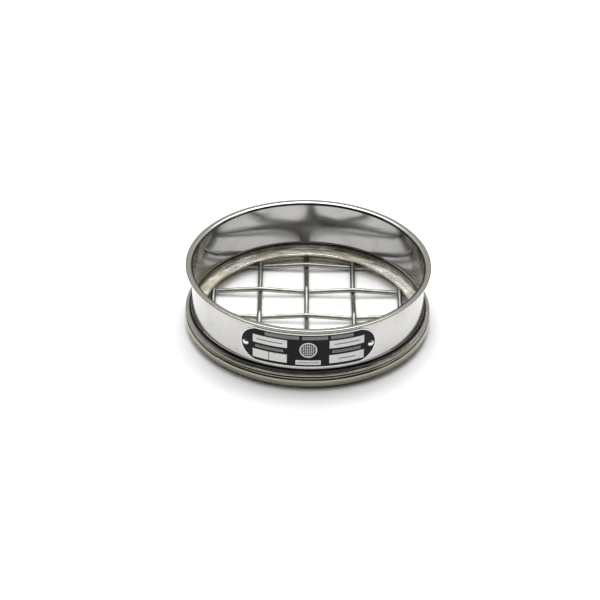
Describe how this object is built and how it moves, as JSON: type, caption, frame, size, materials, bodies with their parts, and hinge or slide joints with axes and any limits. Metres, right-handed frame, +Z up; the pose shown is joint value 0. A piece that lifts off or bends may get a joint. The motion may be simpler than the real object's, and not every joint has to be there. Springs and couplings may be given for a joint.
{
  "type": "test sieve",
  "caption": "Round laboratory test sieve: spun steel frame, crimped plain-woven wire cloth held by a retaining ring, riveted nameplate and a skirt that nests in the sieve below.",
  "frame": {"origin": "on the axis of the frame, at the rest face under the skirt", "axes": "+Z up along the axis of the frame, -Y towards the middle of the nameplate, +X to the right of someone who reads the nameplate"},
  "size_m": [0.218, 0.218, 0.0625],
  "materials": {
    "frame_steel": "polished spun stainless steel",
    "lower_ring_steel": "polished spun stainless steel, slightly duller",
    "ring_steel": "dull, tinned look",
    "warp_steel": "bright drawn wire",
    "weft_steel": "bright drawn wire",
    "plate": "black printed sheet with a bare border",
    "rivet": "bright"
  },
  "bodies": {
    "root": {"frame": "frame_steel", "lower_ring": "lower_ring_steel", "retaining_ring": "ring_steel", "warp_wire_1": "warp_steel", "warp_wire_2": "warp_steel", "warp_wire_3": "warp_steel", "warp_wire_4": "warp_steel", "warp_wire_5": "warp_steel", "weft_wire_1": "weft_steel", "weft_wire_2": "weft_steel", "weft_wire_3": "weft_steel", "weft_wire_4": "weft_steel", "weft_wire_5": "weft_steel", "nameplate": "plate", "rivet_left": "rivet", "rivet_right": "rivet"}
  },
  "joints": []
}
